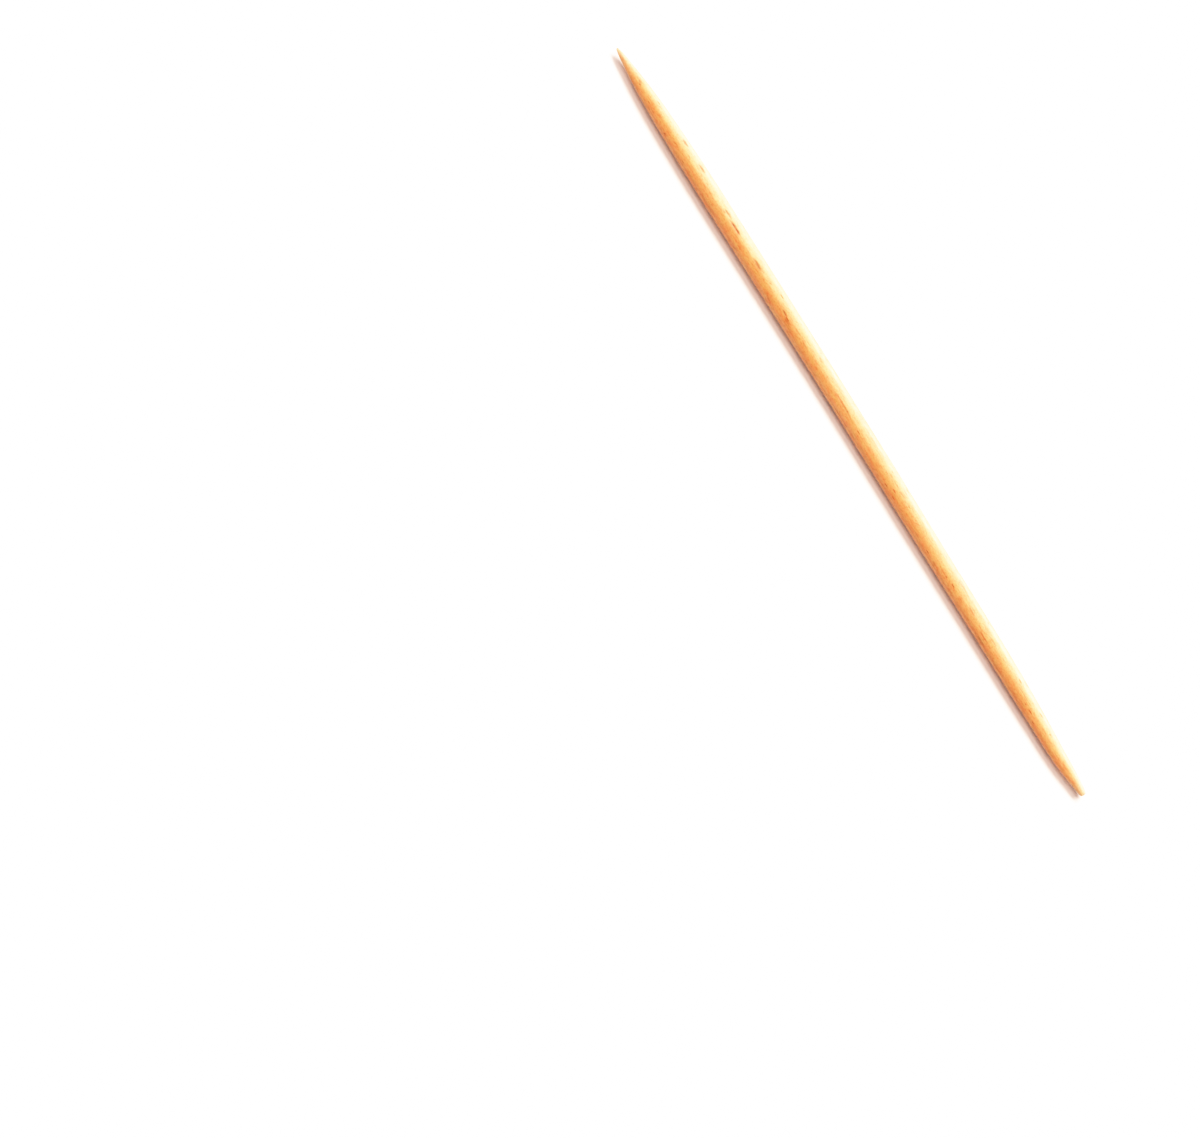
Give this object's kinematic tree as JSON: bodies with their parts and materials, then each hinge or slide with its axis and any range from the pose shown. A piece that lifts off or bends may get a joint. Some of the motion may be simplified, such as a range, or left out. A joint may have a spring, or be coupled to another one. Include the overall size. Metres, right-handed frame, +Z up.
{
  "type": "cocktail stick",
  "caption": "Slim round stick of pale hardwood, ground to a point at each end, for spearing olives, fruit and other small party food.",
  "frame": {"origin": "middle of the stick's footprint, on the surface that it lies on", "axes": "+X along the stick from its sharper point to its blunter point, +Y towards the side that its slight bow stands out to, +Z up"},
  "size_m": [0.08, 0.002, 0.002],
  "materials": {
    "bare_wood": "bare, untreated, close-grained pale hardwood, matt with a soft silky sheen along the grain, a little raised fibre and a few short pores"
  },
  "bodies": {
    "root": {"stick": "bare_wood"}
  },
  "joints": []
}
